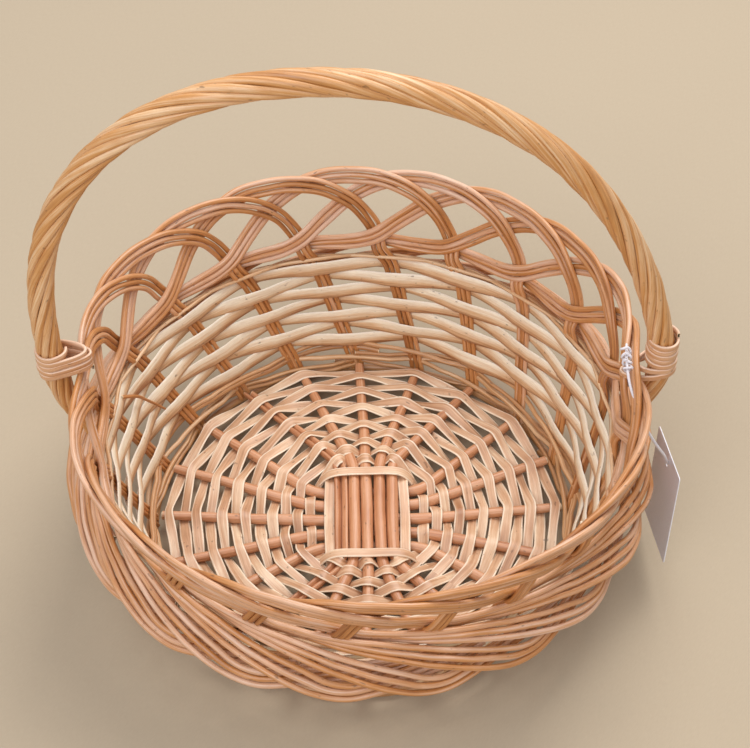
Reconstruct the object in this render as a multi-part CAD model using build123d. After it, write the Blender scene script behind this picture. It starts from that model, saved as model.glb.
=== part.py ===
"""Round willow basket: woven base and wall, open arch border, roped bow handle, blank hang tag.

Millimetres. +Z is up and z = 0 is the table. The handle stands in the XZ plane.
Angles are in degrees, anticlockwise seen from above, from +X.
"""

from build123d import *
import math
import os

# Wall: a cone of stake groups that leans outwards.
SPOKES = 20
PITCH = 360 / SPOKES
EDGE_Z = 8.0
EDGE_RADIUS = 123.5
RIM_Z = 137.0
RIM_RADIUS = 163.0
STAKE_RADIUS = 1.45
STAKES_IN_GROUP = (-1, 0, 1)
CROSSING = 2.2

# The handle pushes the border inwards beside its two feet.
SQUEEZE = 10.5
SQUEEZE_FROM_Z = 75.0
SQUEEZE_HEIGHT = 60.0
SQUEEZE_WIDTH = 14.0

# Route of one stake group: turn from its base stick, height, distance proud of the wall, gap between rods,
# and how much further out each rod is than the one above it.
STAKE_ROUTE = (
    (0.0, 6.0, 0.0, 3.2, 0.0),
    (9.75, 77.0, 0.0, 3.2, 0.0),
    (12.3, 88.0, -CROSSING, 3.1, 0.0),
    (13.5, 97.0, CROSSING, 3.1, 0.0),
    (18.5, 119.0, -CROSSING, 3.1, 0.0),
    (27.0, 129.5, -CROSSING, 3.3, 0.0),
    (36.5, 133.5, 0.0, 3.5, 0.0),
    (45.0, 129.5, CROSSING, 3.3, 0.0),
    (54.5, 119.0, CROSSING, 3.1, 0.0),
    (67.5, 97.0, -CROSSING, 3.1, 0.0),
    (76.0, 91.0, 0.0, 3.2, 0.0),
    (86.0, 89.5, 4.5, 3.1, 1.5),
    (95.0, 86.0, 9.0, 3.0, 3.0),
    (104.0, 80.0, 15.0, 3.2, 3.8),
    (113.0, 71.5, 21.0, 4.0, 4.0),
    (119.0, 64.8, 24.0, 4.4, 2.8),
    (123.0, 63.0, 24.0, 4.4, 2.4),
    (128.0, 63.5, 20.5, 4.2, 2.4),
    (135.0, 66.0, 15.5, 3.8, 2.4),
    (143.0, 69.5, 12.5, 3.6, 2.0),
    (151.0, 72.5, 10.0, 3.4, 1.4),
    (159.0, 75.5, 8.0, 3.2, 0.8),
)
LEAN = 9.75 / (77.0 - EDGE_Z)

# Base: five sticks each way, tied by a square of split willow.
STICK_RADIUS = 3.6
STICK_END_RADIUS = 118.0
STICK_END_Z = 9.5
STICK_BEND_REACH = 6.0
SLATH_X = 3.0
SLATH_Y = -4.0
LONG_SPACING = 7.6
LONG_HALF = 37.0
LONG_Z = 13.4
CROSS_SPACING = 10.5
CROSS_HALF = 31.0
CROSS_Z = 5.9
BINDING_WIDTH = 6.0
BINDING_THICK = 1.2
BINDING_GAP = 0.3

# Flat split weavers.
SPLIT_THICK = 1.0
BASE_SPLIT_WIDTH = 5.4
BASE_RINGS = 12
BASE_FLAT = 3.0
BASE_LIFT = 4.4
SIDE_ROWS = 7
SIDE_FIRST_Z = 26.4
SIDE_STEP = 8.3
SIDE_SPLIT_HEIGHT = 5.6
SIDE_FLAT = 4.7
SIDE_OFFSET = 3.4

# Round weavers: the waling at the foot and the single rod on top of the weave.
WALE_RADIUS = 1.5
WALE_HEIGHTS = (8.3, 11.5, 14.7, 17.9, 21.1)
WALE_OFFSET = 3.7
FOOT_ROD_RADIUS = 2.5
FOOT_ROD_Z = 2.2
FOOT_RING_RADIUS = 124.5
TOP_ROD_RADIUS = 1.2
TOP_ROD_Z = 82.0
ROD_RING_GAP = 3.0

# Bow handle: a core rod with eight rods laid round it like a rope.
HANDLE_ROUTE = (
    (-147.5, 58.0),
    (-153.0, 92.0),
    (-166.0, 118.0),
    (-169.5, 190.0),
    (-156.5, 250.0),
    (-122.5, 300.0),
    (-67.0, 331.0),
    (0.0, 335.5),
    (58.0, 318.0),
    (108.0, 281.5),
    (146.0, 222.0),
    (167.0, 150.0),
    (165.5, 118.0),
    (153.0, 92.0),
    (147.5, 58.0),
)
CORE_RADIUS = 3.1
ROPE_RODS = 8
ROPE_ROD_RADIUS = 2.0
ROPE_LAY_RADIUS = 5.6
ROPE_PITCH = 160.0
ROPE_STEPS_PER_TURN = 10
ROPE_END_Z = 122.0

# Binding that ties each foot of the handle.
BINDING_ROD_RADIUS = 1.5
BINDING_COIL_RADIUS = 9.7
BINDING_PITCH = 3.6
BINDING_STEPS = 10
LEFT_BINDING = (-167.0, 137.0, 5)
RIGHT_BINDING = (166.0, 131.0, 7)

# Hang tag and its string.
TAG_WIDTH = 52.0
TAG_HEIGHT = 60.0
TAG_THICK = 0.6
TAG_HOLE_RADIUS = 2.0
TAG_HOLE_DROP = 8.0
TAG_TOP = (175.4, -15.6, 76.2)
TAG_ACROSS = (4.3, -53.8, 12.5)
TAG_DOWN = (-5.0, -14.1, -59.2)
STRING_RADIUS = 0.8
STRING_ROUTE = (
    (150.5, 22.0, 124.0),
    (149.2, 10.9, 125.2),
    (148.6, -1.0, 124.9),
    (149.8, -12.0, 121.5),
    (153.5, -22.0, 116.0),
    (159.0, -28.0, 104.0),
    (165.5, -27.5, 91.0),
    (171.0, -23.0, 79.5),
    (175.0, -17.8, 69.6),
)


def wall_radius(angle, z):
    """Radius of the wall's middle surface, with the hollow beside each handle foot."""
    cone = EDGE_RADIUS + (RIM_RADIUS - EDGE_RADIUS) * (z - EDGE_Z) / (RIM_Z - EDGE_Z)
    from_foot = (angle + 90) % 180 - 90
    share = min(max((z - SQUEEZE_FROM_Z) / SQUEEZE_HEIGHT, 0), 1)
    return cone - SQUEEZE * share * math.exp(-((from_foot / SQUEEZE_WIDTH) ** 2))


def polar(radius, angle, z):
    """Point at a radius and angle round the basket's axis."""
    turn = math.radians(angle)
    return Vector(radius * math.cos(turn), radius * math.sin(turn), z)


def corner_radii(points, reach=math.inf):
    """Largest tangent arc that each corner's two runs, and the reach, leave room for."""
    radii = []
    for before, corner, after in zip(points, points[1:], points[2:]):
        run_in = corner - before
        run_out = after - corner
        half_turn = math.radians(run_in.get_angle(run_out)) / 2
        tangent = min(0.45 * run_in.length, 0.45 * run_out.length, reach)
        radii.append(tangent / math.tan(half_turn))
    return radii


def rod(points, radius, reach=math.inf):
    """Round rod along straight runs joined by tangent arcs."""
    points = [Vector(*point) for point in points]
    path = FilletPolyline(*points, radius=corner_radii(points, reach))
    start = Plane(origin=path @ 0, z_dir=path % 0)
    return sweep(start * Circle(radius), path=path)


def save(name, *solids):
    """Write one node, as one solid or as a group of separate solids."""
    shape = solids[0] if len(solids) == 1 else Compound(children=list(solids))
    export_step(shape, f"parts/{name}.step")


def stake_points(group, place):
    """Route of one rod of a group, beside the group's middle line on the wall surface."""
    flat = [(math.radians(turn) * wall_radius(90, z), z) for turn, z, *_ in STAKE_ROUTE]
    points = []
    for index, (turn, z, proud, gap, fan) in enumerate(STAKE_ROUTE):
        back = flat[max(index - 1, 0)]
        ahead = flat[min(index + 1, len(flat) - 1)]
        run = math.hypot(ahead[0] - back[0], ahead[1] - back[1])
        aside = -(ahead[1] - back[1]) / run * place * gap
        height = z + (ahead[0] - back[0]) / run * place * gap
        angle = group * PITCH + turn + math.degrees(aside / wall_radius(90, z))
        points.append(polar(wall_radius(angle, height) + proud - place * fan, angle, height))
    return points


def stick_bend(end):
    """Where a stick leaves the square slath, and its far end on the base's edge."""
    side = end // 5
    place = end % 5 - 2
    tip = polar(STICK_END_RADIUS, (end - 2) * PITCH, STICK_END_Z)
    if side == 0:
        return Vector(SLATH_X + CROSS_HALF, SLATH_Y + place * CROSS_SPACING, CROSS_Z), tip
    if side == 1:
        return Vector(SLATH_X - place * LONG_SPACING, SLATH_Y + LONG_HALF, LONG_Z), tip
    if side == 2:
        return Vector(SLATH_X - CROSS_HALF, SLATH_Y - place * CROSS_SPACING, CROSS_Z), tip
    return Vector(SLATH_X + place * LONG_SPACING, SLATH_Y - LONG_HALF, LONG_Z), tip


def base_stick(end):
    """One stick from its end on the right or far side to its end on the opposite side."""
    near_bend, near_tip = stick_bend(end)
    far_bend, far_tip = stick_bend((end // 5 + 2) * 5 + 4 - end % 5)
    return rod((near_tip, near_bend, far_bend, far_tip), STICK_RADIUS, STICK_BEND_REACH)


def base_binding():
    """Four straps of split willow that tie the sticks where they cross."""
    half_x = 2 * LONG_SPACING + STICK_RADIUS + BINDING_WIDTH / 2 + BINDING_GAP
    half_y = 2 * CROSS_SPACING + STICK_RADIUS + BINDING_WIDTH / 2 + BINDING_GAP
    over_cross = CROSS_Z + STICK_RADIUS + BINDING_GAP + BINDING_THICK / 2
    over_long = LONG_Z + STICK_RADIUS + BINDING_GAP + BINDING_THICK / 2
    long_strap = Box(BINDING_WIDTH, 2 * half_y - BINDING_WIDTH, BINDING_THICK)
    cross_strap = Box(2 * half_x + BINDING_WIDTH, BINDING_WIDTH, BINDING_THICK)
    return [
        Pos(SLATH_X - half_x, SLATH_Y, over_cross) * long_strap,
        Pos(SLATH_X + half_x, SLATH_Y, over_cross) * long_strap,
        Pos(SLATH_X, SLATH_Y - half_y, over_long) * cross_strap,
        Pos(SLATH_X, SLATH_Y + half_y, over_long) * cross_strap,
    ]


def ribbon_loop(stations, width_dirs, width, thick):
    """Closed flat ribbon: upright cross-sections joined by flat triangles and sides."""
    lift = Vector(0, 0, thick / 2)
    rings = []
    for point, direction in zip(stations, width_dirs):
        inner = point - direction * width / 2
        outer = point + direction * width / 2
        rings.append((inner - lift, outer - lift, outer + lift, inner + lift))
    faces = []
    for here, there in zip(rings, rings[1:] + rings[:1]):
        faces.append(Face(Wire.make_polygon((here[0], there[0], there[3], here[3]))))
        faces.append(Face(Wire.make_polygon((here[1], there[1], there[2], here[2]))))
        for low, high in ((0, 1), (3, 2)):
            faces.append(Face(Wire.make_polygon((here[low], there[low], there[high]))))
            faces.append(Face(Wire.make_polygon((here[low], there[high], here[high]))))
    return Solid(Shell(faces))


def base_weaver(ring):
    """Split weaver that goes over one stick and under the next."""
    crossings = []
    for end in range(SPOKES):
        bend, tip = stick_bend(end)
        along = tip - bend
        crossings.append((bend + along * (ring + 0.4) / BASE_RINGS, along.normalized()))
    stations = []
    width_dirs = []
    for end, (point, along) in enumerate(crossings):
        across = (crossings[(end + 1) % SPOKES][0] - crossings[end - 1][0]).normalized()
        lift = BASE_LIFT if (end + ring) % 2 else -BASE_LIFT
        outward = Vector(along.X, along.Y, 0).normalized()
        for step in (-BASE_FLAT, BASE_FLAT):
            stations.append(point + Vector(across.X, across.Y, 0) * step + Vector(0, 0, lift))
            width_dirs.append(outward)
    return ribbon_loop(stations, width_dirs, BASE_SPLIT_WIDTH, SPLIT_THICK)


def ring_stations(z, offset, parity, flat):
    """Two points beside each stake group, inside and outside the groups in turn."""
    places = []
    for group in range(SPOKES):
        middle = group * PITCH + LEAN * (z - EDGE_Z)
        side = offset if (group + parity) % 2 else -offset
        radius = wall_radius(middle, z) + side
        half = math.degrees(flat / radius)
        places.append((radius, middle - half))
        places.append((radius, middle + half))
    return places


def side_weaver(row):
    """Split weaver of the wall, on edge, in and out of the stake groups."""
    z = SIDE_FIRST_Z + row * SIDE_STEP
    places = ring_stations(z, SIDE_OFFSET, row, SIDE_FLAT)
    outer = Polyline([polar(r + SPLIT_THICK / 2, a, z) for r, a in places], close=True)
    inner = Polyline([polar(r - SPLIT_THICK / 2, a, z) for r, a in places], close=True)
    band = make_face(outer) - make_face(inner)
    return extrude(band, SIDE_SPLIT_HEIGHT / 2, dir=(0, 0, 1), both=True)


def rod_ring(z, radius, offset, parity):
    """Round weaver of the wall, nearly a full turn, with its two cut ends side by side."""
    places = ring_stations(z, offset, parity, SIDE_FLAT)
    points = [polar(r, a, z) for r, a in places]
    gap = (points[0] - points[-1]).normalized() * ROD_RING_GAP
    return rod(points + [points[0] - gap], radius)


def foot_rod():
    """Rod that the basket stands on, with a flat worn along its underside."""
    ring = Pos(0, 0, FOOT_ROD_Z) * Torus(FOOT_RING_RADIUS, FOOT_ROD_RADIUS)
    table = Pos(0, 0, -FOOT_ROD_RADIUS) * Cylinder(2 * FOOT_RING_RADIUS, 2 * FOOT_ROD_RADIUS)
    return ring - table


def handle_path():
    """Middle line of the bow handle."""
    points = [Vector(x, 0, z) for x, z in HANDLE_ROUTE]
    return FilletPolyline(*points, radius=corner_radii(points))


def rope_rod(path, first, last, place):
    """One rod laid round the core, right-handed from the left foot."""
    length = path.length * (last - first)
    steps = round(length / ROPE_PITCH * ROPE_STEPS_PER_TURN)
    points = []
    for step in range(steps + 1):
        share = first + (last - first) * step / steps
        middle = path @ share
        along = path % share
        out = Vector(0, 1, 0).cross(along) * -1
        side = along.cross(out)
        turn = 2 * math.pi * (place / ROPE_RODS + length * step / steps / ROPE_PITCH)
        points.append(middle + (out * math.cos(turn) + side * math.sin(turn)) * ROPE_LAY_RADIUS)
    return rod(points, ROPE_ROD_RADIUS)


def height_share(path, low, high):
    """Share of the path, between two shares, where it rises through the rope's end height."""
    for _ in range(40):
        middle = (low + high) / 2
        if (path @ middle).Z < ROPE_END_Z:
            low = middle
        else:
            high = middle
    return low


def handle_binding(x, low_z, turns):
    """Coil of thin willow round one foot of the handle."""
    points = []
    for step in range(turns * BINDING_STEPS + 1):
        turn = step / BINDING_STEPS
        around = polar(BINDING_COIL_RADIUS, 360 * turn, low_z + turn * BINDING_PITCH)
        points.append(around + Vector(x, 0, 0))
    return rod(points, BINDING_ROD_RADIUS)


def hang_tag():
    """Blank card with a punched hole, leaning out beside the handle's right foot."""
    across = Vector(*TAG_ACROSS).normalized()
    down = Vector(*TAG_DOWN)
    down = (down - across * down.dot(across)).normalized()
    plane = Plane(origin=Vector(*TAG_TOP), x_dir=across, z_dir=across.cross(down))
    card = Rectangle(TAG_WIDTH, TAG_HEIGHT, align=(Align.CENTER, Align.MIN))
    hole = Pos(0, TAG_HOLE_DROP) * Circle(TAG_HOLE_RADIUS)
    return extrude(plane * (card - hole), TAG_THICK / 2, both=True)


def main():
    """Write every node of the basket."""
    os.makedirs("parts", exist_ok=True)
    for group in range(SPOKES):
        rods = [rod(stake_points(group, place), STAKE_RADIUS) for place in STAKES_IN_GROUP]
        save(f"stake_group_{group + 1:02d}", *rods)
    for place in range(5):
        save(f"base_stick_across_{place + 1}", base_stick(place))
        save(f"base_stick_along_{place + 1}", base_stick(5 + place))
    save("base_binding", *base_binding())
    for pair in range(BASE_RINGS // 2):
        save(f"base_weaver_pair_{pair + 1}", base_weaver(2 * pair), base_weaver(2 * pair + 1))
    save("foot_rod", foot_rod())
    for row, z in enumerate(WALE_HEIGHTS):
        save(f"foot_wale_{row + 1}", rod_ring(z, WALE_RADIUS, WALE_OFFSET, row))
    for row in range(SIDE_ROWS):
        save(f"side_weaver_{row + 1}", side_weaver(row))
    save("top_rod", rod_ring(TOP_ROD_Z, TOP_ROD_RADIUS, SIDE_OFFSET, SIDE_ROWS))
    path = handle_path()
    first = height_share(path, 0, 0.5)
    last = height_share(path, 1, 0.5)
    save("handle_core", rod([(x, 0, z) for x, z in HANDLE_ROUTE], CORE_RADIUS))
    save("handle_rope", *[rope_rod(path, first, last, place) for place in range(ROPE_RODS)])
    save("handle_binding_left", handle_binding(*LEFT_BINDING))
    save("handle_binding_right", handle_binding(*RIGHT_BINDING))
    save("hang_tag", hang_tag())
    string_points = [Vector(*point) for point in STRING_ROUTE]
    print("string radii", [round(radius, 1) for radius in corner_radii(string_points)])
    save("tag_string", rod(STRING_ROUTE, STRING_RADIUS))


main()
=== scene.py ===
"""Round willow basket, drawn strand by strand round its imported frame.

Routes and sizes are in millimetres and become metres when a mesh is made. Angles are in degrees,
anticlockwise seen from above, from +X. A piece is one mesh of one or more strands.
"""

import math

import bpy
import numpy as np
from mathutils import Matrix, Vector


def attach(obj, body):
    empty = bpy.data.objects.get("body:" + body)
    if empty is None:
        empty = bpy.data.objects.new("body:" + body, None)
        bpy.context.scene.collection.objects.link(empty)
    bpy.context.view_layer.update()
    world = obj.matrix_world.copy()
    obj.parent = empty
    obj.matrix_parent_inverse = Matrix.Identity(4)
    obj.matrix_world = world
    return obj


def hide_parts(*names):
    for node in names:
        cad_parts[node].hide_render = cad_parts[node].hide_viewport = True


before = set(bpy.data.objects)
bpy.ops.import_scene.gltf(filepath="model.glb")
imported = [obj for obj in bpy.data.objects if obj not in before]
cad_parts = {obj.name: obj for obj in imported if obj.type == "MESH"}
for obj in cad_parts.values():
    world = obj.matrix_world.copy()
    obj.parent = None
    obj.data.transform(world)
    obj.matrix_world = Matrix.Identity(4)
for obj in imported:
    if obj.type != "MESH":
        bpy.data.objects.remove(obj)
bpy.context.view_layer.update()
chance = np.random.default_rng(11)
MM = 0.001

# The wall: a cone that leans outwards, hollowed beside the two feet of the handle.
SPOKES = 20
PITCH = 360 / SPOKES
EDGE_Z = 8.0
EDGE_RADIUS = 123.5
RIM_Z = 137.0
RIM_RADIUS = 163.0
SLOPE = (RIM_RADIUS - EDGE_RADIUS) / (RIM_Z - EDGE_Z)
SQUEEZE = 10.5
SQUEEZE_FROM_Z = 75.0
SQUEEZE_HEIGHT = 60.0
SQUEEZE_WIDTH = 14.0
MEAN_RADIUS = 150.0

# Stake groups: turn from the group's base stick, height, distance proud of the wall, gap between rods,
# and how much further out each rod is than the one above it.
CROSSING = 2.2
STAKE_RADIUS = 1.72
STAKE_ROUTE = (
    (0.0, 5.6, 0.0, 3.0, 0.0),
    (5.0, 41.0, 0.0, 3.0, 0.0),
    (9.75, 77.0, 0.0, 3.2, 0.0),
    (12.3, 88.0, -CROSSING, 3.2, 0.0),
    (13.5, 97.0, CROSSING, 3.3, 0.0),
    (18.5, 118.0, -CROSSING, 3.4, 0.0),
    (27.0, 130.6, -CROSSING, 3.7, 0.0),
    (36.5, 133.5, 0.0, 3.8, 0.0),
    (45.5, 130.6, CROSSING, 3.7, 0.0),
    (54.5, 119.5, CROSSING, 3.4, 0.0),
    (66.5, 97.5, -CROSSING, 3.3, 0.0),
    (70.5, 92.6, -1.0, 3.3, 0.0),
    (76.0, 91.0, 0.0, 3.2, 0.0),
    (86.0, 89.5, 4.5, 3.1, 1.5),
    (95.0, 86.0, 9.0, 3.0, 3.0),
    (104.0, 80.0, 15.0, 3.2, 3.8),
    (113.0, 71.5, 21.0, 4.0, 4.0),
    (119.0, 64.8, 24.0, 4.4, 2.8),
    (123.0, 63.0, 24.0, 4.4, 2.4),
    (128.0, 63.5, 20.5, 4.2, 2.4),
    (135.0, 66.0, 15.5, 3.8, 2.4),
    (143.0, 69.5, 12.5, 3.6, 2.0),
    (151.0, 72.5, 10.0, 3.4, 1.4),
    (159.0, 75.5, 8.0, 3.2, 0.8),
)
WALL_TOP_TURN, WALL_TOP_Z = STAKE_ROUTE[2][:2]
LEAN = WALL_TOP_TURN / (WALL_TOP_Z - EDGE_Z)
ARCH_FROM_Z = 97.0
ARCH_HEIGHT = 40.0

# Base sticks: five each way, opened out to twenty spokes.
STICK_RADIUS = 3.6
STICK_TIP_RADIUS = 2.7
STICK_END_RADIUS = 119.0
STICK_END_Z = 9.5
SLATH = np.array([3.0, -4.0])
LONG_SPACING = 7.6
LONG_HALF = 37.0
LONG_Z = 13.4
CROSS_SPACING = 10.5
CROSS_HALF = 31.0
CROSS_Z = 5.9
STRAP_WIDE = 3.1
STRAP_THICK = 0.7

# Weavers.
BASE_RINGS = 12
BASE_WIDE = 3.15
BASE_THICK = 0.5
SIDE_ROWS = 7
SIDE_FIRST_Z = 26.4
SIDE_STEP = 8.3
SIDE_WIDE = 4.7
SIDE_THICK = 0.85
SIDE_OFFSET = 2.5
WALE_RADIUS = 1.6
WALE_HEIGHTS = (8.3, 11.5, 14.7, 17.9, 21.1)
WALE_OFFSET = 3.1
TOP_ROD_Z = 82.0
TOP_ROD_RADIUS = 1.12
TOP_ROD_OFFSET = 2.8
FOOT_ROD_RADIUS = 2.45
FOOT_ROD_Z = 2.5
FOOT_RING_RADIUS = 124.5
FOOT_ROD_LAP = 3.4
TWIG_ROUTE = (
    (-138.5, 33.0, 78.5),
    (-131.0, 39.5, 72.0),
    (-127.0, 45.0, 63.0),
    (-117.4, 53.5, 45.0),
)

# Handle: middle line in the XZ plane, and the rods laid round it.
HANDLE_ROUTE = (
    (-147.5, 58.0),
    (-153.0, 92.0),
    (-166.0, 118.0),
    (-169.5, 190.0),
    (-156.5, 250.0),
    (-122.5, 300.0),
    (-67.0, 331.0),
    (0.0, 335.5),
    (58.0, 318.0),
    (108.0, 281.5),
    (146.0, 222.0),
    (167.0, 150.0),
    (165.5, 118.0),
    (153.0, 92.0),
    (147.5, 58.0),
)
CORE_RADIUS = 3.1
ROPE_RODS = 8
ROPE_LAY_RADIUS = 5.5
ROPE_PITCH = 160.0
ROPE_LOW_Z = 104.0
ROPE_ROD_RADIUS = 2.15
BINDING_RADIUS = 8.0
BINDING_PITCH = 3.5
BINDING_WIDE = 1.8
BINDING_THICK = 0.85
BINDING_TURN_LENGTH = 56
BINDING_REACH = 13.0

# Hang tag and its string.
TAG_WIDTH = 52.0
TAG_HEIGHT = 60.0
TAG_THICK = 0.6
TAG_CORNER = 1.5
TAG_HOLE_RADIUS = 2.0
TAG_HOLE_DROP = 8.0
TAG_TOP = Vector((175.4, -15.6, 76.2))
TAG_ACROSS = Vector((4.3, -53.8, 12.5))
TAG_DOWN = Vector((-5.0, -14.1, -59.2))
STRING_DIAMETER = 1.6
STRING_ROUTE = (
    (150.0, 19.0, 131.5),
    (148.2, 7.0, 134.0),
    (147.4, -5.0, 134.5),
    (148.0, -16.0, 131.5),
    (151.6, -28.0, 127.0),
    (157.6, -35.0, 114.5),
    (165.0, -33.0, 99.5),
    (171.0, -25.5, 84.0),
    (174.9, -17.6, 68.4),
)
KNOT_X = 148.4
KNOT_FROM_Y = -6.0
KNOT_Z = 133.0
KNOT_RADIUS = 2.6
KNOT_PITCH = 5.0
KNOT_TURNS = 3.5
KNOT_THREAD_RADIUS = 0.75
FLUFF_RADIUS = 0.22


# ---- camera, floor and light -------------------------------------------------------------------


def set_camera():
    """Camera above and in front of the basket, looking down into it."""
    camera = bpy.data.objects.new("camera", bpy.data.cameras.new("camera"))
    bpy.context.scene.collection.objects.link(camera)
    place = Vector((0.0, -0.7276, 0.9097))
    aim = Vector((0.0095, 0.0647, 0.060))
    roll = math.radians(0.66)
    look = (aim - place).to_track_quat("-Z", "Y").to_matrix()
    camera.matrix_world = Matrix.Translation(place) @ (look @ Matrix.Rotation(-roll, 3, "Z")).to_4x4()
    camera.data.lens = 92.65
    camera.data.sensor_width = 36.0
    camera.data.clip_end = 20.0
    bpy.context.scene.camera = camera


def area_light(name, place, aim, size, power, colour):
    """Soft square light."""
    light = bpy.data.lights.new(name, "AREA")
    light.size = size
    light.energy = power
    light.color = colour
    obj = bpy.data.objects.new(name, light)
    obj.location = place
    obj.rotation_euler = (Vector(aim) - Vector(place)).to_track_quat("-Z", "Y").to_euler()
    bpy.context.scene.collection.objects.link(obj)


def set_lights():
    """Two broad soft lights, behind on the right and in front on the left, and an even sky."""
    area_light("key", (0.50, 0.95, 1.75), (0, 0, 0.05), 1.2, 29.0, (1.0, 0.97, 0.94))
    area_light("fill", (-0.6, -1.3, 1.7), (0, -0.1, 0.05), 1.6, 26.0, (0.96, 0.97, 1.0))
    world = bpy.data.worlds.new("sky")
    world.use_nodes = True
    world.node_tree.nodes["Background"].inputs["Color"].default_value = (0.93, 0.94, 1.0, 1)
    world.node_tree.nodes["Background"].inputs["Strength"].default_value = 0.6
    bpy.context.scene.world = world
    bpy.context.scene.view_settings.view_transform = "Standard"


# ---- materials ---------------------------------------------------------------------------------


def srgb(red, green, blue):
    """Linear colour from 0 to 255 display values."""
    share = [value / 255 for value in (red, green, blue)]
    return tuple(c / 12.92 if c < 0.04045 else ((c + 0.055) / 1.055) ** 2.4 for c in share) + (1.0,)


class Nodes:
    """Short hand for building one material's node tree."""

    def __init__(self, name):
        self.material = bpy.data.materials.new(name)
        self.material.use_nodes = True
        self.tree = self.material.node_tree
        self.shader = self.tree.nodes["Principled BSDF"]

    def add(self, kind, inputs=None, **settings):
        node = self.tree.nodes.new("ShaderNode" + kind)
        for key, value in settings.items():
            setattr(node, key, value)
        for key, value in (inputs or {}).items():
            self.set(node.inputs[key], value)
        return node

    def set(self, socket, value):
        if isinstance(value, bpy.types.NodeSocket):
            self.tree.links.new(value, socket)
        else:
            socket.default_value = value

    def maths(self, operation, first, second=0.0, clamp=False):
        node = self.add("Math", operation=operation, use_clamp=clamp)
        self.set(node.inputs[0], first)
        self.set(node.inputs[1], second)
        return node.outputs[0]

    def span(self, value, low, high, to_low=0.0, to_high=1.0):
        inputs = {"Value": value, "From Min": low, "From Max": high, "To Min": to_low, "To Max": to_high}
        return self.add("MapRange", inputs).outputs[0]

    def mix(self, share, first, second, blend="MIX"):
        node = self.add("Mix", data_type="RGBA", blend_type=blend)
        self.set(node.inputs[0], share)
        self.set(node.inputs[6], first)
        self.set(node.inputs[7], second)
        return node.outputs[2]

    def noise(self, vector, scale, detail=3.0, roughness=0.55):
        mapping = self.add("Mapping", {"Vector": vector, "Scale": scale})
        inputs = {"Vector": mapping.outputs[0], "Scale": 1.0, "Detail": detail, "Roughness": roughness}
        return self.add("TexNoise", inputs).outputs[0]

    def ramp(self, value, stops):
        node = self.add("ValToRGB", {"Fac": value})
        elements = node.color_ramp.elements
        while len(elements) < len(stops):
            elements.new(0.5)
        for element, (place, colour) in zip(elements, stops):
            element.position = place
            element.color = colour
        return node.outputs[0]


def willow(name, dark, middle, light, pale_edge_and_highlight, gloss=0.42, bump=0.35):
    """Peeled willow: streaks along the strand, patches, fine fibre, specks, pale edges (cut edges, partly a
    painted highlight) and cut ends.
    """
    n = Nodes(name)
    grain = n.add("Attribute", attribute_name="grain").outputs["Vector"]
    look = n.add("Attribute", attribute_name="look").outputs["Vector"]
    look = n.add("SeparateXYZ", {"Vector": look}).outputs
    streak = n.noise(grain, (0.014, 0.9, 1.0), 5.0, 0.68)
    patch = n.noise(grain, (0.035, 0.06, 1.0), 2.0)
    fibre = n.noise(grain, (0.16, 3.4, 1.0), 3.0, 0.65)
    speck = n.noise(grain, (0.22, 0.5, 3.0), 1.0)
    share = n.maths("ADD", n.maths("MULTIPLY", streak, 1.25), n.maths("MULTIPLY", patch, 0.5))
    # look.X shifts along the ramp: tone that differs at random, plus painted sheen on the stake arches and
    # painted highlight and shade on the wall rows.
    share = n.maths("ADD", share, n.maths("SUBTRACT", look["X"], 0.875))
    colour = n.ramp(share, ((0.12, dark), (0.5, middle), (0.86, light)))
    # Pale edge colour on the corners marked in look.Y: cut edges of the split willow, partly a painted
    # highlight along them.
    rim = n.maths("MULTIPLY", look["Y"], n.span(patch, 0.25, 0.55, 0.55, 1.0), clamp=True)
    colour = n.mix(rim, colour, pale_edge_and_highlight)
    colour = n.mix(n.span(fibre, 0.35, 0.7, 0.0, 0.30), colour, dark)
    colour = n.mix(n.span(speck, 0.70, 0.78, 0.0, 0.55), colour, srgb(96, 58, 32))
    colour = n.mix(look["Z"], colour, srgb(238, 214, 176))
    height = n.maths("ADD", n.maths("MULTIPLY", streak, 0.7), n.maths("MULTIPLY", fibre, 0.3))
    relief = n.add("Bump", {"Strength": bump, "Distance": 0.0006, "Height": height})
    n.set(n.shader.inputs["Base Color"], colour)
    n.set(n.shader.inputs["Roughness"], n.span(streak, 0.3, 0.7, gloss - 0.08, gloss + 0.1))
    n.set(n.shader.inputs["Normal"], relief.outputs[0])
    n.shader.inputs["Specular IOR Level"].default_value = 0.85
    return n.material


def card_material():
    """White card with a faint fibre."""
    n = Nodes("tag_card")
    place = n.add("TexCoord").outputs["Object"]
    fibre = n.noise(place, (900.0, 900.0, 900.0), 4.0, 0.7)
    colour = n.mix(fibre, srgb(222, 221, 226), srgb(240, 239, 242))
    relief = n.add("Bump", {"Strength": 0.15, "Distance": 0.0002, "Height": fibre})
    n.set(n.shader.inputs["Base Color"], colour)
    n.set(n.shader.inputs["Roughness"], n.span(fibre, 0.3, 0.7, 0.5, 0.65))
    n.set(n.shader.inputs["Normal"], relief.outputs[0])
    return n.material


def thread_material():
    """Soft white cotton."""
    n = Nodes("tag_thread")
    place = n.add("TexCoord").outputs["Object"]
    twist = n.noise(place, (1500.0, 1500.0, 700.0), 3.0, 0.6)
    colour = n.mix(twist, srgb(205, 200, 205), srgb(244, 242, 245))
    relief = n.add("Bump", {"Strength": 0.6, "Distance": 0.0004, "Height": twist})
    n.set(n.shader.inputs["Base Color"], colour)
    n.set(n.shader.inputs["Normal"], relief.outputs[0])
    n.shader.inputs["Roughness"].default_value = 0.9
    n.shader.inputs["Sheen Weight"].default_value = 0.3
    return n.material


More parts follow.
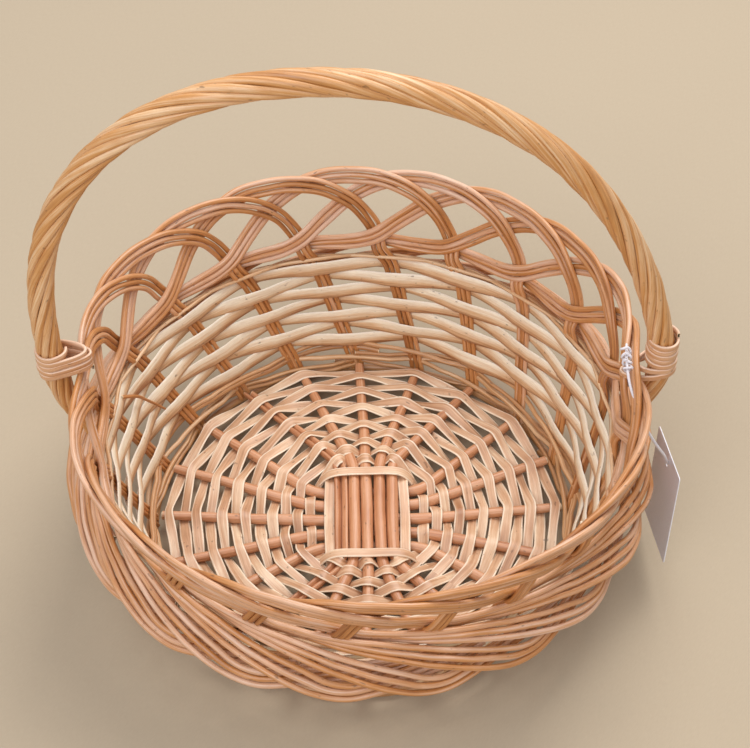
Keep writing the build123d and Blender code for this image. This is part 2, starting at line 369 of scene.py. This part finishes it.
def floor_material():
    """Matt beige card with a fine linen press."""
    n = Nodes("floor")
    place = n.add("TexCoord").outputs["Object"]
    cloud = n.noise(place, (2.5, 2.5, 2.5), 3.0)
    turned = n.add("Mapping", {"Vector": place, "Rotation": (0.0, 0.0, 0.6)}).outputs[0]
    linen = n.noise(turned, (1500.0, 260.0, 1.0), 2.0, 0.6)
    colour = n.mix(cloud, srgb(178, 162, 138), srgb(184, 168, 143))
    colour = n.mix(n.span(linen, 0.3, 0.7, 0.0, 0.12), colour, srgb(150, 132, 112))
    relief = n.add("Bump", {"Strength": 0.12, "Distance": 0.0004, "Height": linen})
    n.set(n.shader.inputs["Base Color"], colour)
    n.set(n.shader.inputs["Normal"], relief.outputs[0])
    n.shader.inputs["Roughness"].default_value = 0.85
    return n.material


STAKE = willow(
    "stake_willow", srgb(146, 84, 36), srgb(206, 140, 76), srgb(230, 190, 160), srgb(230, 194, 166)
)
STICK = willow(
    "stick_willow", srgb(160, 96, 56), srgb(208, 148, 104), srgb(228, 184, 148), srgb(226, 184, 158)
)
BASE_SPLIT = willow(
    "base_split_willow",
    srgb(164, 112, 74), srgb(214, 170, 132), srgb(240, 214, 180), srgb(250, 234, 208), gloss=0.48
)
SIDE_SPLIT = willow(
    "side_split_willow",
    srgb(168, 112, 68), srgb(230, 192, 146), srgb(252, 238, 208), srgb(254, 244, 224), gloss=0.48
)
WALE = willow(
    "wale_willow", srgb(146, 90, 44), srgb(202, 148, 94), srgb(236, 200, 156), srgb(226, 188, 158)
)
HANDLE = willow(
    "handle_willow", srgb(160, 98, 42), srgb(210, 150, 84), srgb(240, 204, 160), srgb(224, 186, 150)
)
BINDING = willow(
    "binding_willow", srgb(150, 92, 50), srgb(208, 150, 102), srgb(234, 192, 152), srgb(238, 204, 176)
)
THREAD = thread_material()


# ---- strands -----------------------------------------------------------------------------------


def lengths(points):
    """Distance along a line of points."""
    return np.concatenate([[0.0], np.cumsum(np.linalg.norm(np.diff(points, axis=0), axis=1))])


def evenly(points, step):
    """The same line, with points evenly spaced."""
    along = lengths(points)
    places = np.linspace(0, along[-1], max(int(along[-1] / step), 2) + 1)
    return np.column_stack([np.interp(places, along, column) for column in points.T])


def flow(points, step=2.0):
    """Smooth line through the points."""
    points = np.asarray(points, float)
    run = np.sqrt(np.linalg.norm(np.diff(points[:, :3], axis=0), axis=1))[:, None]
    slope = np.diff(points, axis=0) / run
    middle = (slope[:-1] * run[1:] + slope[1:] * run[:-1]) / (run[:-1] + run[1:])
    tangent = np.vstack([1.5 * slope[0] - 0.5 * middle[0], middle, 1.5 * slope[-1] - 0.5 * middle[-1]])
    t = np.linspace(0, 1, 16, endpoint=False)[:, None]
    parts = []
    for k, width in enumerate(run):
        start = (2 * t**3 - 3 * t**2 + 1) * points[k] + (t**3 - 2 * t**2 + t) * width * tangent[k]
        parts.append(start + (3 * t**2 - 2 * t**3) * points[k + 1] + (t**3 - t**2) * width * tangent[k + 1])
    return evenly(np.vstack(parts + [points[-1:]]), step)


def bent(points, cut, step=1.5, closed=False):
    """Straight runs, each corner rounded off from a distance cut, or half the run, before it."""
    points = np.asarray(points, float)
    if closed:
        points = np.vstack([(points[0] + points[-1]) / 2, points, (points[0] + points[-1]) / 2])
    line = [points[:1]]
    t = np.linspace(0, 1, 9)[:, None]
    for before, corner, after in zip(points, points[1:], points[2:]):
        reach_in = min(cut / np.linalg.norm(corner - before), 0.5)
        reach_out = min(cut / np.linalg.norm(after - corner), 0.5)
        start = corner + (before - corner) * reach_in
        end = corner + (after - corner) * reach_out
        line.append((1 - t) ** 2 * start + 2 * t * (1 - t) * corner + t**2 * end)
    return evenly(np.vstack(line + [points[-1:]]), step)


def uneven(along, amount, waves=(23.0, 41.0, 97.0)):
    """Small random swing along a strand."""
    phases = chance.uniform(0, 2 * math.pi, len(waves))
    shares = chance.uniform(0.5, 1.0, len(waves))
    shares *= amount / shares.sum()
    return sum(s * np.sin(2 * math.pi * along / w + p) for s, w, p in zip(shares, waves, phases))


def swing(angle, amount, turns=(1, 2, 3, 5, 8)):
    """Small random swing round the basket, closed on itself."""
    phases = chance.uniform(0, 2 * math.pi, len(turns))
    shares = chance.uniform(0.4, 1.0, len(turns))
    shares *= amount / shares.sum()
    return sum(s * np.sin(t * np.radians(angle) + p) for s, t, p in zip(shares, turns, phases))


def circle(sides):
    """Round section: across, out and edge of each corner."""
    turn = np.arange(sides) * 2 * math.pi / sides
    return np.column_stack([np.cos(turn), np.sin(turn), np.zeros(sides)])


ROUND = circle(9)
# Split willow: skin side up with pale edges, pith below; the pale edges are cut edges, partly a painted
# highlight.
SPLIT = np.array(
    [
        (1.00, 0.00, 1.0),
        (0.95, 0.62, 1.0),
        (0.80, 0.92, 1.0),
        (0.66, 1.02, 0.0),
        (0.00, 1.12, 0.0),
        (-0.66, 1.02, 0.0),
        (-0.80, 0.92, 1.0),
        (-0.95, 0.62, 1.0),
        (-1.00, 0.00, 1.0),
        (-0.80, -0.80, 0.8),
        (0.00, -0.95, 0.6),
        (0.80, -0.80, 0.8),
    ]
)
# Half of a split stick: round above, flat and pale where it was split.
HALF = np.array(
    [
        (1.00, -0.45, 0.6),
        (0.92, 0.20, 0.0),
        (0.60, 0.75, 0.0),
        (0.00, 1.00, 0.0),
        (-0.60, 0.75, 0.0),
        (-0.92, 0.20, 0.0),
        (-1.00, -0.45, 0.6),
        (0.00, -0.55, 1.0),
    ]
)
# Split willow of the wall: ridged, its upper edge painted pale and its upper side painted paler than its
# lower: painted highlight above, painted shade below.
BLADE = np.array(
    [
        (1.00, 0.00, 1.0),
        (0.92, 0.50, 1.0),
        (0.76, 0.80, 0.4),
        (0.20, 1.20, 0.0),
        (-0.20, 1.15, 0.0),
        (-0.85, 0.55, 0.0),
        (-1.00, 0.00, 0.0),
        (-0.85, -0.55, 0.0),
        (-0.20, -1.10, 0.0),
        (0.20, -1.15, 0.1),
        (0.76, -0.75, 0.4),
        (0.92, -0.45, 1.0),
    ]
)
END_BEVEL = 0.72


class Piece:
    """One mesh made of strands, with the grain and look that the materials read."""

    def __init__(self):
        self.points = []
        self.grain = []
        self.look = []
        self.quads = []
        self.ends = []
        self.count = 0

    def ring(self, points, grain, look):
        """Adds one block of points and says where it starts."""
        start = self.count
        self.points.append(points)
        self.grain.append(grain)
        self.look.append(look)
        self.count += len(points)
        return start

    def strand(self, points, out, section, wide, thick, tone=0.5, twist=None, painted_side_light=0.0):
        """Sweeps a section along the points, its second axis towards out; the last argument paints one side
        paler as a painted highlight and the other darker as painted shade.
        """
        total = len(points)
        sides = len(section)
        ahead = np.gradient(points, axis=0)
        ahead /= np.linalg.norm(ahead, axis=1)[:, None]
        out = np.broadcast_to(np.asarray(out, float), points.shape)
        out = out - (out * ahead).sum(1)[:, None] * ahead
        out /= np.linalg.norm(out, axis=1)[:, None]
        side = np.cross(ahead, out)
        if twist is not None:
            cosine, sine = np.cos(twist)[:, None], np.sin(twist)[:, None]
            side, out = side * cosine + out * sine, out * cosine - side * sine
        wide = np.broadcast_to(wide, total)[:, None]
        thick = np.broadcast_to(thick, total)[:, None]
        across = (section[:, 0] * wide)[..., None] * side[:, None]
        body = points[:, None] + across + (section[:, 1] * thick)[..., None] * out[:, None]
        seed = chance.uniform(0, 900)
        along = lengths(points) + chance.uniform(0, 400)
        around = np.concatenate([[0], np.cumsum(np.linalg.norm(np.diff(section[:, :2], axis=0), axis=1))])
        grain = np.empty((total, sides, 3))
        grain[..., 0] = along[:, None]
        grain[..., 1] = around * (wide + thick) / 2
        grain[..., 2] = seed
        look = np.zeros((total, sides, 3))
        # Look column 0 is tone, with painted highlight on one side and painted shade on the other; column 1
        # is the pale edge share, cut edges partly a painted highlight.
        look[..., 0] = np.broadcast_to(tone, total)[:, None] + section[:, 0] * painted_side_light
        look[..., 1] = section[:, 2]
        start = self.ring(body.reshape(-1, 3), grain.reshape(-1, 3), look.reshape(-1, 3))
        here = start + np.arange(total - 1)[:, None] * sides + np.arange(sides)
        there = start + np.arange(total - 1)[:, None] * sides + (np.arange(sides) + 1) % sides
        self.quads.append(np.stack([here, here + sides, there + sides, there], -1).reshape(-1, 4))
        for index, way in ((0, -1), (total - 1, 1)):
            self.end(body[index], ahead[index] * way, grain[index], look[index], float(thick[index, 0]))

    def end(self, rim, away, grain, look, size):
        """Cut end with a slight bevel and pale pith."""
        sides = len(rim)
        look = look.copy()
        look[:, 2] = 1.0
        face = rim.mean(0) + (rim - rim.mean(0)) * END_BEVEL + away * size * 0.25
        outer = self.ring(rim, grain, look)
        inner = self.ring(face, grain, look)
        k = np.arange(sides)
        after = (k + 1) % sides
        band = np.stack([outer + k, inner + k, inner + after, outer + after], -1)
        normal = np.cross(rim[1] - rim[0], away)
        if normal @ (rim[0] - rim.mean(0)) > 0:
            band = band[:, ::-1]
            self.ends.append((inner + k[::-1]).tolist())
        else:
            self.ends.append((inner + k).tolist())
        self.quads.append(band)

    def build(self, name, material, slot, *nodes):
        """Makes the object, rides it on the basket and lets it stand for its CAD nodes."""
        mesh = bpy.data.meshes.new(name)
        faces = np.vstack(self.quads).tolist() + self.ends
        mesh.from_pydata((np.vstack(self.points) * MM).tolist(), [], faces)
        for key, rows in (("grain", self.grain), ("look", self.look)):
            layer = mesh.attributes.new(key, "FLOAT_VECTOR", "POINT")
            layer.data.foreach_set("vector", np.vstack(rows).astype(np.float32).ravel())
        mesh.polygons.foreach_set("use_smooth", np.ones(len(mesh.polygons), bool))
        mesh.materials.append(material)
        return place(bpy.data.objects.new(name, mesh), slot, *nodes)


def place(obj, slot, *nodes):
    """Puts an object in the scene as a part of the basket."""
    if obj.name not in bpy.context.scene.collection.objects:
        bpy.context.scene.collection.objects.link(obj)
    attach(obj, "root")
    if nodes:
        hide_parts(*nodes)
    return obj


# ---- wall --------------------------------------------------------------------------------------


def wall_radius(angle, z):
    """Radius of the wall's middle surface."""
    from_foot = (np.asarray(angle) + 90) % 180 - 90
    share = np.clip((np.asarray(z) - SQUEEZE_FROM_Z) / SQUEEZE_HEIGHT, 0, 1)
    return EDGE_RADIUS + SLOPE * (z - EDGE_Z) - SQUEEZE * share * np.exp(-((from_foot / SQUEEZE_WIDTH) ** 2))


def on_wall(angle, z, proud=0.0):
    """Points at an angle and height, a distance outside the wall."""
    radius = wall_radius(angle, z) + proud
    turn = np.radians(angle)
    return np.column_stack([radius * np.cos(turn), radius * np.sin(turn), np.broadcast_to(z, radius.shape)])


def wall_out(angle):
    """Outward direction square to the wall."""
    turn = np.radians(angle)
    tilt = math.atan(SLOPE)
    flat = math.cos(tilt)
    return np.column_stack([np.cos(turn) * flat, np.sin(turn) * flat, np.full(turn.shape, -math.sin(tilt))])


def stake_group(group):
    """Three rods that rise through the wall, arch over and end in the rolled edge."""
    piece = Piece()
    base = group * PITCH + chance.uniform(-0.5, 0.5)
    lift = chance.uniform(-1.8, 1.2)
    route = np.array(STAKE_ROUTE)
    route[:, 0] = np.radians(route[:, 0]) * MEAN_RADIUS
    route[:, 1] += lift * np.clip((route[:, 1] - ARCH_FROM_Z) / ARCH_HEIGHT, 0, 1)
    line = flow(route, 2.2)
    along = lengths(line[:, :3])
    ahead = np.gradient(line[:, :2], axis=0)
    ahead /= np.linalg.norm(ahead, axis=1)[:, None]
    share = along / along[-1]
    arch_sheen_share = np.clip((line[:, 0] / MEAN_RADIUS - 0.3) / 0.3, 0, 1)
    tone = chance.uniform(0.38, 0.5)
    for number in (-1, 0, 1):
        aside = number * line[:, 3] + uneven(along, 0.3)
        z = line[:, 1] + ahead[:, 0] * aside
        turn = np.degrees(line[:, 0] / MEAN_RADIUS)
        angle = base + turn - np.degrees(ahead[:, 1] * aside / wall_radius(90, z))
        points = on_wall(angle, z, line[:, 2] - number * line[:, 4] + uneven(along, 0.22))
        size = (STAKE_RADIUS + chance.uniform(-0.1, 0.12)) * (1 + uneven(along, 0.04))
        size *= np.interp(share, (0, 0.25, 0.4, 1), (0.84, 0.92, 1.02, 0.98))
        keep = int(len(points) * chance.uniform(0.93, 1.0))
        # Rods are painted up to 0.2 paler towards the arch and rolled edge: a painted sheen on their
        # upward-facing tops.
        colour = tone + chance.uniform(-0.14, 0.14) + 0.2 * arch_sheen_share
        piece.strand(points[:keep], wall_out(angle)[:keep], ROUND, size[:keep], size[:keep], colour[:keep])
    name = f"stake_group_{group + 1:02d}"
    return piece.build(f"{name}_rods", STAKE, "stake_willow", name)


def woven(angle, z, parity, reach=1.35):
    """In and out of the stake groups: 1 inside one group, -1 inside the next."""
    middle = angle - LEAN * (z - EDGE_Z)
    wave = np.cos(np.radians(middle * SPOKES / 2)) * (1 if parity % 2 else -1)
    return np.clip(np.arcsin(wave) * 2 / math.pi * reach, -1, 1)


def side_weaver(row):
    """Row of split willow on edge, its pointed ends lapped."""
    piece = Piece()
    start = chance.uniform(200, 340)
    angle = np.arange(start, start + 375, 0.9)
    middle = SIDE_FIRST_Z + row * SIDE_STEP
    z = middle + swing(angle, 0.8)
    inside = woven(angle, middle, row)
    lap = np.clip((angle - start - 358) / 12, 0, 1)
    points = on_wall(angle, z + 0.8 * lap, -inside * SIDE_OFFSET - lap * 1.3)
    along = lengths(points)
    tip = np.clip(np.minimum(along, along[-1] - along) / 26, 0.12, 1)
    leaf = SIDE_WIDE * (0.88 + 0.16 * inside)
    wide = (leaf + uneven(along, 0.5, (37.0, 90.0, 210.0))) * tip
    way = -1 if row in (1, 4) else 1
    twist = uneven(along, 0.2, (70.0, 120.0, 210.0)) + 0.12 * inside
    tone = 0.6 + uneven(along, 0.16, (80.0, 150.0, 300.0))
    # Blade mirrored so its painted highlight edge stays on top; the row is painted paler above and darker
    # below by 0.42 as painted highlight and painted shade.
    blade = BLADE if way < 0 else BLADE[::-1] * (-1, 1, 1)
    piece.strand(points, wall_out(angle) * way, blade, wide, SIDE_THICK, tone, twist, -0.42 * way)
    name = f"side_weaver_{row + 1}"
    return piece.build(f"{name}_split", SIDE_SPLIT, "side_split_willow", name)


def wale(row):
    """Rod of the waling at the foot: inside two groups, outside the third."""
    piece = Piece()
    start = 90 + 118 * row
    angle = np.arange(start, start + 368, 1.0)
    beat = np.radians((angle - LEAN * (WALE_HEIGHTS[row] - EDGE_Z)) / PITCH * 120 + 120 * row)
    z = WALE_HEIGHTS[row] + 1.3 * np.sin(beat) + swing(angle, 0.9)
    points = on_wall(angle, z, -WALE_OFFSET * np.clip(1.5 * np.cos(beat) + 0.45, -1, 1))
    along = lengths(points)
    size = WALE_RADIUS * (1 + uneven(along, 0.08)) * np.linspace(1.05, 0.8, len(along))
    piece.strand(points, wall_out(angle), ROUND, size, size, 0.4 + 0.12 * (row % 3))
    name = f"foot_wale_{row + 1}"
    return piece.build(f"{name}_rod", WALE, "wale_willow", name)


def top_pair():
    """Two thin rods twined along the top of the weave."""
    piece = Piece()
    for number in (0, 1):
        start = 70 + 140 * number
        angle = np.arange(start, start + 366, 1.0)
        inside = woven(angle, TOP_ROD_Z, number + SIDE_ROWS)
        z = TOP_ROD_Z + 1.1 * inside + swing(angle, 0.7)
        points = on_wall(angle, z, -TOP_ROD_OFFSET * inside)
        along = lengths(points)
        size = TOP_ROD_RADIUS * (1 + uneven(along, 0.08))
        piece.strand(points, wall_out(angle), ROUND, size, size, 0.72)
    return piece.build("top_rod_pair", WALE, "wale_willow", "top_rod")


def stray_twig():
    """Thin dark twig left sticking out inside the wall."""
    piece = Piece()
    line = flow(TWIG_ROUTE)
    size = np.linspace(1.15, 0.7, len(line))
    piece.strand(line, (0.9, -0.3, 0.2), ROUND, size, size, 0.3)
    return piece.build("stray_twig", STAKE, "stake_willow")


def foot_rod():
    """Rod under the edge of the base, its cut ends lapped."""
    piece = Piece()
    angle = np.arange(20, 386, 1.5)
    lap = np.clip((angle - 378) / 6, 0, 1)
    turn = np.radians(angle)
    radius = FOOT_RING_RADIUS - FOOT_ROD_LAP * lap
    z = np.full(angle.shape, FOOT_ROD_Z)
    points = np.column_stack([radius * np.cos(turn), radius * np.sin(turn), z])
    size = FOOT_ROD_RADIUS * (1 - 0.25 * lap)
    piece.strand(points, (0, 0, 1), circle(12), size, size, 0.45)
    return piece.build("foot_rod_ring", WALE, "wale_willow", "foot_rod")


# ---- base --------------------------------------------------------------------------------------


def stick_end(end):
    """Where a stick leaves the square slath, and its far end at the edge of the base."""
    side, place_in_side = end // 5, end % 5 - 2
    turn = math.radians((end - 2) * PITCH)
    tip = np.array([STICK_END_RADIUS * math.cos(turn), STICK_END_RADIUS * math.sin(turn), STICK_END_Z])
    x, y = SLATH
    bend = (
        (x + CROSS_HALF, y + place_in_side * CROSS_SPACING, CROSS_Z),
        (x - place_in_side * LONG_SPACING, y + LONG_HALF, LONG_Z),
        (x - CROSS_HALF, y - place_in_side * CROSS_SPACING, CROSS_Z),
        (x + place_in_side * LONG_SPACING, y - LONG_HALF, LONG_Z),
    )[side]
    return np.array(bend), tip


def base_stick(end, name, split=False):
    """One stick right across the base, thinner towards its ends, or two halves of a split one."""
    piece = Piece()
    near_bend, near_tip = stick_end(end)
    far_bend, far_tip = stick_end((end // 5 + 2) * 5 + 4 - end % 5)
    line = bent((near_tip, near_bend, far_bend, far_tip), 9.0, 2.5)
    along = lengths(line)
    line[:, 0] += uneven(along, 0.35, (60.0, 140.0))
    line[:, 1] += uneven(along, 0.35, (60.0, 140.0))
    share = np.abs(2 * along / along[-1] - 1) ** 1.5
    size = (STICK_RADIUS + (STICK_TIP_RADIUS - STICK_RADIUS) * share) * (1 + uneven(along, 0.025))
    tone = chance.uniform(0.42, 0.6)
    if split:
        for way in (-1, 1):
            beside = line + np.array([way * 2.0, 0, 0])
            piece.strand(beside, (way * 0.5, 0, 1), HALF, size * 0.52, size * 0.95, tone + way * 0.06)
    else:
        piece.strand(line, (0, 0, 1), circle(14), size, size, tone)
    return piece.build(f"{name}_willow", STICK, "stick_willow", name)


def base_weaver_pair(pair):
    """Two rings of split willow, over one stick and under the next, folded at each stick."""
    piece = Piece()
    for ring in (2 * pair, 2 * pair + 1):
        share = (ring + 0.4) / BASE_RINGS
        crossings = []
        for end in range(SPOKES):
            bend, tip = stick_end(end)
            shift = chance.uniform(-0.9, 0.9)
            along = tip - bend
            reach = share + shift / np.linalg.norm(along)
            crossings.append(bend + along * reach)
        stations = []
        for end, point in enumerate(crossings):
            across = crossings[(end + 1) % SPOKES] - crossings[end - 1]
            across[2] = 0
            across /= np.linalg.norm(across)
            size = STICK_RADIUS + (STICK_TIP_RADIUS - STICK_RADIUS) * (0.25 + 0.75 * share) ** 1.5
            over = (end + ring) % 2
            lift = (size + BASE_THICK + 0.1) * (1 if over else -1)
            flat = 1.9 if over else 1.0
            for step in (-flat, flat):
                stations.append(point + across * step + np.array([0, 0, lift]))
        line = bent(stations, 1.1, 1.2, closed=True)
        along = lengths(line)
        wide = BASE_WIDE + uneven(along, 0.55, (31.0, 55.0, 130.0))
        twist = uneven(along, 0.42, (33.0, 52.0, 88.0))
        tone = 0.48 + chance.uniform(-0.06, 0.08) + uneven(along, 0.18, (38.0, 75.0, 160.0))
        piece.strand(line, (0, 0, 1), SPLIT, wide, BASE_THICK, tone, twist)
    name = f"base_weaver_pair_{pair + 1}"
    return piece.build(f"{name}_split", BASE_SPLIT, "base_split_willow", name)


def base_binding():
    """Square of split willow straps over the slath, their ends tucked down."""
    piece = Piece()
    half_x = 2 * LONG_SPACING + STICK_RADIUS + STRAP_WIDE
    half_y = 2 * CROSS_SPACING + STICK_RADIUS + STRAP_WIDE
    over_long = LONG_Z + STICK_RADIUS + STRAP_THICK
    over_cross = CROSS_Z + STICK_RADIUS + STRAP_THICK
    for way in (-1, 1):
        x, y = SLATH[0] + way * half_x, SLATH[1]
        beside = (
            (x, y - half_y - 8, 7),
            (x, y - half_y - 3, over_cross + 2.2),
            (x + way * 0.7, y, over_cross),
            (x, y + half_y - 2, over_cross + 2.2),
            (x, y + half_y + 3, 7),
        )
        x, y = SLATH[0], SLATH[1] + way * half_y + (way - 1) * 3.0
        ahead = (
            (x - half_x - 6, y, 9),
            (x - half_x + 1, y, over_long - 1.2),
            (x, y + way * 0.4, over_long + 0.2),
            (x + half_x - 1, y, over_long - 1.2),
            (x + half_x + 6, y - way, 9),
        )
        for strap in (beside, ahead):
            piece.strand(flow(strap, 1.5), (0, 0, 1), SPLIT, STRAP_WIDE, STRAP_THICK, 0.55)
    return piece.build("base_binding_straps", BASE_SPLIT, "base_split_willow", "base_binding")


# ---- handle ------------------------------------------------------------------------------------


def handle_line(step=1.5):
    """Middle line of the bow."""
    return bent([(x, 0, z) for x, z in HANDLE_ROUTE], 1000.0, step)


def handle_core():
    """Core rod, seen only at the feet."""
    piece = Piece()
    line = handle_line(3.0)
    piece.strand(line, (0, 1, 0), circle(12), CORE_RADIUS, CORE_RADIUS, 0.45)
    return piece.build("handle_core_rod", HANDLE, "handle_willow", "handle_core")


def handle_rope():
    """Eight rods laid round the core."""
    piece = Piece()
    line = handle_line()
    line = line[line[:, 2] > ROPE_LOW_Z]
    along = lengths(line)
    ahead = np.gradient(line, axis=0)
    ahead /= np.linalg.norm(ahead, axis=1)[:, None]
    out = np.cross(ahead, (0, 1, 0))
    side = np.cross(ahead, out)
    foot = np.clip(np.minimum(along, along[-1] - along) / 30, 0, 1)
    lay = ROPE_LAY_RADIUS - 1.6 * (1 - foot)
    for number in range(ROPE_RODS):
        turn = 2 * math.pi * (number / ROPE_RODS + along / ROPE_PITCH) + uneven(along, 0.05, (70.0, 130.0))
        outward = out * np.cos(turn)[:, None] + side * np.sin(turn)[:, None]
        size = (ROPE_ROD_RADIUS + chance.uniform(-0.15, 0.15)) * (0.72 + 0.28 * foot)
        size *= 1 + uneven(along, 0.05)
        points = line + outward * (lay + chance.uniform(-0.15, 0.15) + uneven(along, 0.12))[:, None]
        tone = chance.uniform(0.34, 0.68) + uneven(along, 0.08, (90.0, 200.0))
        piece.strand(points, outward, ROUND, size * 1.08, size * 0.86, tone)
    return piece.build("handle_rope_rods", HANDLE, "handle_willow", "handle_rope")


def handle_binding(place_x, low_z, turns, tight, rise, name):
    """Coil round one foot of the handle, whose lower turns take in the border too."""
    piece = Piece()
    way = math.copysign(1, place_x)
    turn = np.linspace(0, turns, turns * 40)
    angle = 2 * math.pi * turn * -way
    loose = np.clip((turns - tight - turn) / 1.2, 0, 1)
    inward = np.clip(-way * np.cos(angle), 0, 1)
    along = turn * BINDING_TURN_LENGTH
    reach = BINDING_RADIUS + BINDING_REACH * loose * inward + uneven(along, 0.45)
    x = place_x + reach * np.cos(angle)
    y = (BINDING_RADIUS + 0.2) * np.sin(angle)
    z = low_z + BINDING_PITCH * turn + rise * loose * inward + uneven(along, 0.7)
    points = np.column_stack([x, y, z])
    outward = np.column_stack([np.cos(angle), np.sin(angle), np.zeros(len(angle))])
    piece.strand(points, outward, SPLIT, BINDING_WIDE, BINDING_THICK, 0.6)
    return piece.build(f"{name}_coil", BINDING, "binding_willow", name)


# ---- tag and string ----------------------------------------------------------------------------


def hang_tag():
    """Blank card with rounded corners and a punched hole."""
    outline = bpy.data.curves.new("tag_card", "CURVE")
    outline.dimensions = "2D"
    outline.fill_mode = "BOTH"
    outline.extrude = TAG_THICK / 2 * MM
    half = TAG_WIDTH / 2
    corners = [(-half, 0), (half, 0), (half, TAG_HEIGHT), (-half, TAG_HEIGHT)]
    card = [(*corner, 0.0) for corner in corners]
    rounded_card = bent(card, TAG_CORNER, 1.0, closed=True)[:-1]
    hole_turn = np.radians(np.arange(0, 360, 15))
    hole = np.column_stack([np.cos(hole_turn), np.sin(hole_turn)]) * TAG_HOLE_RADIUS + (0, TAG_HOLE_DROP)
    for loop in (rounded_card[:, :2], hole):
        spline = outline.splines.new("POLY")
        spline.points.add(len(loop) - 1)
        spline.use_cyclic_u = True
        for point, (x, y) in zip(spline.points, loop * MM):
            point.co = (x, y, 0, 1)
    flat = bpy.data.objects.new("tag_outline", outline)
    bpy.context.scene.collection.objects.link(flat)
    mesh = bpy.data.meshes.new_from_object(flat)
    bpy.data.objects.remove(flat)
    across = TAG_ACROSS.normalized()
    down = (TAG_DOWN - across * TAG_DOWN.dot(across)).normalized()
    turn = Matrix((across, down, across.cross(down))).transposed().to_4x4()
    mesh.transform(Matrix.Translation(TAG_TOP * MM) @ turn)
    mesh.materials.clear()
    mesh.materials.append(card_material())
    return place(bpy.data.objects.new("hang_tag_card", mesh), "tag_card", "hang_tag")


def tag_string(card):
    """Cotton thread from the border to the tag, on one smooth line."""
    line = bpy.data.curves.new("tag_string_thread", "CURVE")
    line.dimensions = "3D"
    line.bevel_depth = STRING_DIAMETER / 2 * MM
    line.bevel_resolution = 3
    line.resolution_u = 10
    line.use_fill_caps = True
    spline = line.splines.new("NURBS")
    spline.points.add(len(STRING_ROUTE) - 1)
    for point, (x, y, z) in zip(spline.points, STRING_ROUTE):
        point.co = (x * MM, y * MM, z * MM, 1)
    spline.order_u = 3
    spline.use_endpoint_u = True
    line.materials.append(THREAD)
    thread = place(bpy.data.objects.new("tag_string_thread", line), "tag_thread", "tag_string")
    return thread


def tag_knot():
    """Knot of the thread round the border, with loose fluffy ends."""
    piece = Piece()
    turn = np.linspace(0, KNOT_TURNS, 90)
    angle = 2 * math.pi * turn
    x = KNOT_X + KNOT_RADIUS * np.cos(angle)
    y = KNOT_FROM_Y + KNOT_PITCH * turn + 0.6 * np.sin(2.3 * angle)
    z = KNOT_Z + KNOT_RADIUS * np.sin(angle)
    points = np.column_stack([x, y, z])
    piece.strand(points, (0.3, 1, 0.2), ROUND, KNOT_THREAD_RADIUS, KNOT_THREAD_RADIUS, 0.5)
    for _ in range(7):
        start = np.array([KNOT_X, chance.uniform(-5, 8), KNOT_Z + 2.4])
        away = chance.uniform((-4, -5, 0), (3, 5, 4.5))
        curl = np.array([away[2], 0, -away[0]]) * chance.uniform(-0.4, 0.4)
        line = flow([start, start + away * 0.5 + curl, start + away], 0.4)
        piece.strand(line, (0.2, 1, 0.3), ROUND, FLUFF_RADIUS, FLUFF_RADIUS, 0.5)
    return piece.build("tag_string_knot", THREAD, "tag_thread")


# ---- the whole basket --------------------------------------------------------------------------

set_camera()
set_lights()
tag_string(hang_tag())
tag_knot()
for group_number in range(SPOKES):
    stake_group(group_number)
for weaver_row in range(SIDE_ROWS):
    side_weaver(weaver_row)
for wale_row in range(len(WALE_HEIGHTS)):
    wale(wale_row)
top_pair()
stray_twig()
foot_rod()
for stick in range(5):
    base_stick(stick, f"base_stick_across_{stick + 1}")
    base_stick(5 + stick, f"base_stick_along_{stick + 1}", split=stick == 4)
for weaver_pair in range(BASE_RINGS // 2):
    base_weaver_pair(weaver_pair)
base_binding()
handle_core()
handle_rope()
handle_binding(-167.0, 137.0, 5, 0, 2.5, "handle_binding_left")
handle_binding(166.0, 131.0, 7, 5, -5.0, "handle_binding_right")

ground = bpy.data.meshes.new("floor")
ground.from_pydata([(-3, -3, 0), (3, -3, 0), (3, 3, 0), (-3, 3, 0)], [], [(0, 1, 2, 3)])
ground.materials.append(floor_material())
floor = bpy.data.objects.new("floor", ground)
bpy.context.scene.collection.objects.link(floor)
